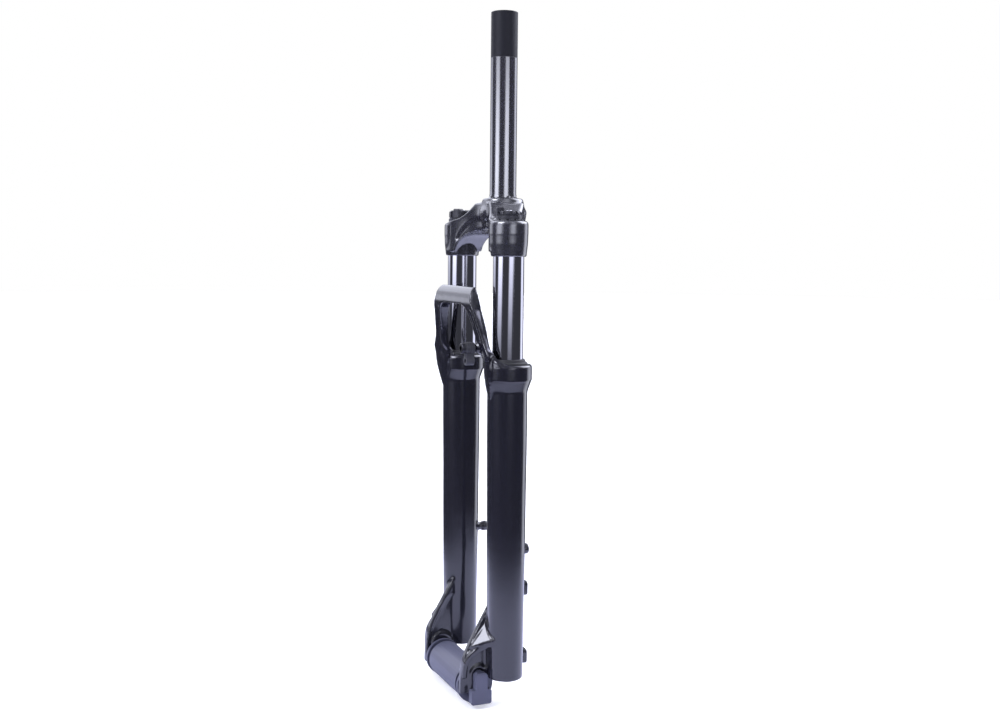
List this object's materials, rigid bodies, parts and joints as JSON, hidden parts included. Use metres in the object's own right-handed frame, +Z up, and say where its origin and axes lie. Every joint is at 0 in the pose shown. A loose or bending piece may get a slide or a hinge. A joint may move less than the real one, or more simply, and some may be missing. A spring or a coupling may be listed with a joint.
{
  "type": "bicycle suspension fork",
  "caption": "Telescopic bicycle suspension fork: straight steerer, forged crown, chrome stanchions, one-piece cast lower legs with front brake arch and open dropouts, and a shipping axle.",
  "frame": {"origin": "on the steerer axis, level with the crown's top face under the crown race seat", "axes": "+Z up the steerer, -Y forward (the way the bicycle travels), +X to the rider's left along the hub axis"},
  "size_m": [0.1806, 0.0945, 0.7303],
  "materials": {
    "gloss_black": "gloss black powder coat",
    "satin_black": "satin black paint on forged alloy",
    "steerer_black": "semi-gloss black on steel tube",
    "chrome": "polished chrome",
    "knob_plastic": "moulded black plastic",
    "guide_plastic": "moulded black plastic",
    "spacer_plastic": "moulded dark grey plastic",
    "white_plastic": "plain acetal",
    "rubber_black": "seal rubber",
    "foam": "oil-soaked foam",
    "elastomer": "soft elastomer",
    "bright_steel": "zinc-plated steel",
    "spring_steel": "dark spring wire",
    "black_steel": "black-oxide steel",
    "alloy": "turned aluminium",
    "bronze": "sintered bronze on steel backing"
  },
  "bodies": {
    "upper": {"steerer_tube": "steerer_black", "crown": "satin_black", "stanchion_left": "chrome", "stanchion_right": "chrome", "top_cap_left": "knob_plastic", "top_cap_right": "knob_plastic", "coil_spring": "spring_steel", "foot_plug_left": "white_plastic", "foot_plug_right": "white_plastic", "top_out_bumper": "elastomer", "damper_cartridge": "alloy", "damper_rod_guide": "alloy"},
    "lowers": {"lower_casting": "gloss_black", "dust_wiper_left": "rubber_black", "dust_wiper_right": "rubber_black", "foam_ring_left": "foam", "foam_ring_right": "foam", "upper_bushing_left": "bronze", "upper_bushing_right": "bronze", "lower_bushing_left": "bronze", "lower_bushing_right": "bronze", "compression_rod": "alloy", "bottom_out_bumper": "elastomer", "damper_rod": "bright_steel", "damper_piston": "alloy", "piston_nut": "bright_steel", "foot_bolts": "bright_steel", "foot_washers": "alloy", "hose_guide": "guide_plastic", "hose_guide_bolt": "black_steel"},
    "preload_dial": {"preload_knob": "knob_plastic", "preload_knob_screw": "bright_steel"},
    "preload_stack": {"preload_plunger": "alloy", "preload_spacer": "white_plastic"},
    "lockout_dial": {"lockout_knob": "knob_plastic", "lockout_knob_screw": "bright_steel", "lockout_spindle": "alloy", "lockout_valve": "alloy"},
    "shipping_axle": {"axle_spacer": "spacer_plastic"}
  },
  "joints": [
    {"name": "fork_travel", "type": "slide", "parent": "upper", "child": "lowers", "axis": [0, 0, 1], "range_m": [0, 0.1], "deforming": ["coil_spring"]},
    {"name": "preload_turn", "type": "hinge", "parent": "upper", "child": "preload_dial", "pos_m": [0.065, -0.021, -0.02], "axis": [0, 0, -1], "range_deg": [0, 720]},
    {"name": "preload_push", "type": "slide", "parent": "upper", "child": "preload_stack", "axis": [0, 0, -1], "range_m": [0, 0.007]},
    {"name": "lockout_turn", "type": "hinge", "parent": "upper", "child": "lockout_dial", "pos_m": [-0.065, -0.021, -0.02], "axis": [0, 0, -1], "range_deg": [0, 90]},
    {"name": "shipping_axle_pull", "type": "slide", "parent": "lowers", "child": "shipping_axle", "axis": [0, 0, -1], "range_m": [0, 0.045]}
  ],
  "couplings": [
    {"joint": "preload_push", "follows": "preload_turn", "m_per_rad": 0.000477}
  ]
}
